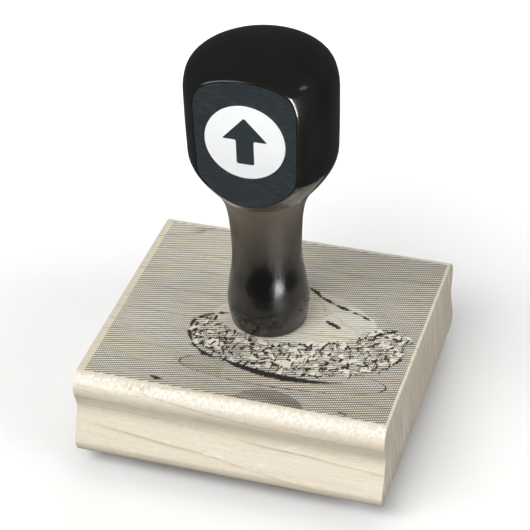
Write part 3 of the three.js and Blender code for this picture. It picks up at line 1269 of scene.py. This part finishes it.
@dataclass
class WoodScrew:
    """The countersunk wood screw that holds the handle, driven from under the block."""

    head_radius: float = 4.7 * MM
    core_radius: float = 1.7 * MM
    shank_radius: float = 2.35 * MM
    crest_radius: float = 2.4 * MM
    rim: float = 0.4 * MM
    cone_deg: float = 41
    plain_length: float = 19 * MM
    thread_turns: int = 7
    pitch: float = 2.1 * MM
    steps_per_turn: int = 28
    ridge_depth: float = 0.2 * MM
    ridge_half: float = 0.32 * MM
    slot_size: tuple[float, float, float] = mm(5, 1, 3.2)
    low: Vector = field(default_factory=lambda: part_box("handle_screw")[0])
    high: Vector = field(default_factory=lambda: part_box("handle_screw")[1])

    def body(self) -> bmesh.types.BMesh:
        """Turns the head, the plain shank and the tapered core."""
        cone = (self.head_radius - self.shank_radius) / math.tan(math.radians(self.cone_deg))
        rim_top = self.low.z + self.rim
        return spun(
            [
                (0, self.low.z),
                (self.head_radius - 0.1 * MM, self.low.z),
                (self.head_radius, self.low.z + 0.1 * MM),
                (self.head_radius, rim_top),
                (self.shank_radius, rim_top + cone),
                (self.shank_radius, rim_top + self.plain_length),
                (self.core_radius, rim_top + self.plain_length + 0.6 * MM),
                (self.core_radius, self.high.z - 4 * MM),
                (0, self.high.z),
            ],
            64,
        )

    def thread(self) -> bmesh.types.BMesh:
        """Winds the thread's ridge round the core as a closed helix."""
        bm = bmesh.new()
        start = self.low.z + self.rim + self.plain_length
        root, half = self.core_radius - self.ridge_depth, self.ridge_half
        corners = [(root, start), (root, start + 2 * half), (self.crest_radius, start + half)]
        ridge = bm.faces.new([bm.verts.new((r, 0, z)) for r, z in corners])
        bmesh.ops.spin(
            bm,
            geom=[ridge, *ridge.edges, *ridge.verts],
            cent=(0, 0, 0),
            axis=(0, 0, 1),
            dvec=(0, 0, self.pitch / self.steps_per_turn),
            angle=math.tau * self.thread_turns,
            steps=self.steps_per_turn * self.thread_turns,
        )
        return bm

    def driver_slots(self) -> list[bmesh.types.BMesh]:
        """Makes the cross-shaped driver recess as two cutting tools, one for each slot."""
        slots = []
        for turn in (0, math.pi / 2):
            slot = bmesh.new()
            shape = (
                Matrix.Translation((0, 0, self.low.z))
                @ Matrix.Rotation(turn, 4, "Z")
                @ Matrix.Diagonal((*self.slot_size, 1))
            )
            bmesh.ops.create_cube(slot, size=1, matrix=shape)
            slots.append(slot)
        return slots

    def build(self) -> None:
        """Builds the screw and its thread."""
        steel = (ZincSteel(),)
        screw = Piece("wood_screw", Body.BLOCK, "handle_screw", steel, "handle_screw")
        screw.place(self.body(), self.driver_slots())
        Piece("screw_thread", Body.BLOCK, "handle_screw", steel).place(self.thread())


# ---- The cushion and the die ----


@dataclass
class Cushion:
    """The foam sheet between the die and the block, and the adhesive films on both its faces."""

    corner: float = 0.8 * MM
    bulge: float = 0.22 * MM
    layers: int = 8
    joint: str = "cushion_press"
    low: Vector = field(default_factory=lambda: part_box("cushion_foam")[0])
    high: Vector = field(default_factory=lambda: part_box("cushion_foam")[1])

    def foam(self) -> bmesh.types.BMesh:
        """Makes the knife-cut foam, its sides swelling a little between the films."""
        bm = bmesh.new()
        half = (self.high - self.low) / 2
        x, y = half.x - self.bulge, half.y - self.bulge
        corners = [(-x, -y), (x, -y), (x, y), (-x, y)]
        bm.faces.new([bm.verts.new((*corner, self.low.z)) for corner in corners])
        bevel(bm, bm.verts[:], self.corner, 6, "VERTICES")
        step = 2 * half.z / self.layers
        for layer in range(1, self.layers + 1):
            swell = self.bulge * (
                math.sin(math.pi * layer / self.layers)
                - math.sin(math.pi * (layer - 1) / self.layers)
            )
            for vert in skirt(bm):
                vert.co.x += math.copysign(swell, vert.co.x)
                vert.co.y += math.copysign(swell, vert.co.y)
                vert.co.z += step
        bmesh.ops.edgeloop_fill(bm, edges=open_rim(bm))
        return bm

    def build(self) -> None:
        """Builds the foam, and dresses both adhesive films."""
        foam = Piece("foam_cushion", Body.BLOCK, "cushion_foam", (CellFoam(),), "cushion_foam")
        placed = foam.place(self.foam())
        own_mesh(placed)
        for node in ("cushion_tape_bottom", "cushion_tape_top"):
            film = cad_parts[node]
            film.data.materials.clear()
            film.data.materials.append(AdhesiveFilm().material())


@dataclass
class RubberDie:
    """The engraved die: the picture stands up as printing dots on the base sheet's underside.

    The dots are 1.3 mm apart, coarser than the real screen, so that they are real relief.
    """

    cell: float = 0.3 * MM
    border: float = 1.5 * MM
    engraved: float = 0.5 * MM
    relief: float = 1.0 * MM
    dot_mm: float = 1.3
    low: Vector = field(default_factory=lambda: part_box("rubber_die")[0])
    high: Vector = field(default_factory=lambda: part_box("rubber_die")[1])

    def raised(self, x: np.ndarray, y: np.ndarray, picture: SunHatPicture) -> np.ndarray:
        """Says where the rubber is left standing to print.

        Args:
            x: Each point's x in millimetres.
            y: Each point's y in millimetres.
            picture: The picture to print.

        Returns:
            True at each point that prints.
        """
        turn = math.radians(PrintedMaple.screen_deg)
        across = (x * math.cos(turn) - y * math.sin(turn)) * math.pi / self.dot_mm
        along = (x * math.sin(turn) + y * math.cos(turn)) * math.pi / self.dot_mm
        screen = 0.5 + 0.5 * np.cos(across) * np.cos(along)
        return picture.tone(x, y) > screen

    def build(self, picture: SunHatPicture) -> None:
        """Builds the die."""
        size = self.high - self.low
        bm = gridded(self.low, self.high, self.low.z, self.cell)
        places = np.array([v.co[:2] for v in bm.verts])
        prints = self.raised(places[:, 0] / MM, places[:, 1] / MM, picture)
        margin = np.array((size.x, size.y)) / 2 - self.border
        in_field = (np.abs(places) < margin).all(axis=1)
        heights = np.where(in_field, np.where(prints, 0, self.engraved), self.relief)
        for vert, height in zip(bm.verts, heights):
            vert.co.z = self.low.z + height
        for vert in skirt(bm):
            vert.co.z = self.high.z
        bmesh.ops.edgeloop_fill(bm, edges=open_rim(bm))
        die = Piece("engraved_die", Body.DIE, "rubber_die", (BrickRubber(),), "rubber_die")
        die.place(bm, sharp=math.radians(50))


# ---- The studio ----


class Shows(Enum):
    """What a light shows in: it lights the matt surfaces, or only glints in the glossy ones."""

    MATT = "matt"
    GLOSS = "gloss"


@dataclass(frozen=True)
class Softbox:
    """A rectangular studio light, placed by bearing and aimed at the stamp.

    The bearing is from the front (-Y) towards the right, and the distance is from the aim, in
    metres, as the size is.
    """

    name: str
    bearing_deg: float
    height_deg: float
    distance: float
    size: tuple[float, float]
    watts: float
    shows: Shows
    colour: str = "#FFFFFF"
    aim: tuple[float, float, float] = (0, 0, 0.05)

    def build(self) -> None:
        """Puts the light in the scene."""
        light = bpy.data.lights.new(self.name, "AREA")
        light.shape = "RECTANGLE"
        light.size, light.size_y = self.size
        light.energy = self.watts
        light.color = srgb(self.colour)[:3]
        lamp = bpy.data.objects.new(self.name, light)
        bearing, height = math.radians(self.bearing_deg), math.radians(self.height_deg)
        out = Vector(
            (
                math.sin(bearing) * math.cos(height),
                -math.cos(bearing) * math.cos(height),
                math.sin(height),
            )
        )
        lamp.location = Vector(self.aim) + out * self.distance
        lamp.rotation_euler = out.to_track_quat("Z", "Y").to_euler()
        lamp.visible_glossy = self.shows is Shows.GLOSS
        lamp.visible_diffuse = self.shows is Shows.MATT
        lamp.visible_camera = False
        bpy.context.scene.collection.objects.link(lamp)


@dataclass
class Studio:
    """The pale sweep, the lights and the camera."""

    floor_radius: float = 2.4
    wall_radius: float = 3.4
    wall_height: float = 3.6
    floor_gap: float = 0.05 * MM
    world: str = "#373A3C"
    world_strength: float = 1.0
    camera_place: tuple[float, float, float] = (0.11609, -0.34762, 0.31253)
    camera_turn_deg: tuple[float, float, float] = (53.5687, 1.6303, 17.3583)
    lens_mm: float = 128.97
    softboxes: tuple[Softbox, ...] = (
        Softbox("key_softbox", -26, 50, 1.2, (1.0, 0.6), 11, Shows.MATT),
        Softbox("key_glint", -26, 50, 1.2, (0.9, 0.5), 4.5, Shows.GLOSS),
        Softbox("brow_glint", -36, 22, 1.2, (0.75, 0.3), 2.0, Shows.GLOSS),
        Softbox("strip_softbox", 49, 4, 0.9, (0.34, 0.84), 10, Shows.GLOSS),
        Softbox("right_sheen", 98, -26, 0.9, (0.3, 0.5), 0.018, Shows.GLOSS, "#8FA8BC"),
        Softbox("window_glint", 100, 46, 0.9, (0.13, 0.13), 0.12, Shows.GLOSS, "#A8BCCB"),
        Softbox("top_fill", 165, 62, 1.4, (1.0, 1.0), 4.2, Shows.MATT),
        Softbox("side_fill", 80, 18, 1.2, (0.8, 0.6), 8.5, Shows.MATT),
        Softbox("back_fill", 180, 16, 1.2, (1.0, 0.5), 4.5, Shows.MATT),
        Softbox("left_fill", -95, 14, 1.2, (0.8, 0.5), 3.6, Shows.MATT),
        Softbox("front_fill", -8, 4, 1.2, (1.6, 0.3), 7.2, Shows.MATT),
    )

    def sweep(self) -> None:
        """Turns the pale floor that sweeps up into a wall all round.

        Gloss, bounced light and the room's light are blind to it, so it changes nothing on the
        stamp but the shadow that it shows.
        """
        turns = np.linspace(0, math.pi / 2, 13)
        bend = self.wall_radius - self.floor_radius
        curve = [
            (self.floor_radius + bend * math.sin(a), bend * (1 - math.cos(a)) - self.floor_gap)
            for a in turns
        ]
        middle = (0, -self.floor_gap)
        board = spun([middle, *curve, (self.wall_radius, self.wall_height)], 64)
        sweep = Piece.scene_object("sweep", board)
        sweep.data.shade_smooth()
        sweep.data.materials.append(GlowBoard().material())
        sweep.visible_glossy = False
        sweep.visible_diffuse = False
        sweep.visible_shadow = False

    def surroundings(self) -> None:
        """Fills the room with an even grey light."""
        world = bpy.data.worlds.new("studio")
        world.use_nodes = True
        back = world.node_tree.nodes["Background"]
        back.inputs["Color"].default_value = srgb(self.world)
        back.inputs["Strength"].default_value = self.world_strength
        bpy.context.scene.world = world

    def camera(self) -> None:
        """Sets the camera, with no shift and no depth of field."""
        lens = bpy.data.cameras.new("camera")
        lens.lens = self.lens_mm
        lens.clip_start = 0.01
        viewer = bpy.data.objects.new("camera", lens)
        viewer.location = self.camera_place
        viewer.rotation_euler = degrees(*self.camera_turn_deg)
        bpy.context.scene.collection.objects.link(viewer)
        bpy.context.scene.camera = viewer

    def build(self) -> None:
        """Builds the whole studio."""
        self.sweep()
        self.surroundings()
        self.camera()
        for softbox in self.softboxes:
            softbox.build()
        bpy.context.scene.view_settings.view_transform = "Standard"


def main() -> None:
    """Builds every sub-assembly in order."""
    logging.basicConfig(level=logging.INFO, format="%(name)s: %(message)s")
    picture = SunHatPicture()
    MountBlock().build(picture)
    TurnedHandle().build()
    WoodScrew().build()
    Cushion().build()
    RubberDie().build(picture)
    Studio().build()


if __name__ == "__main__":
    main()
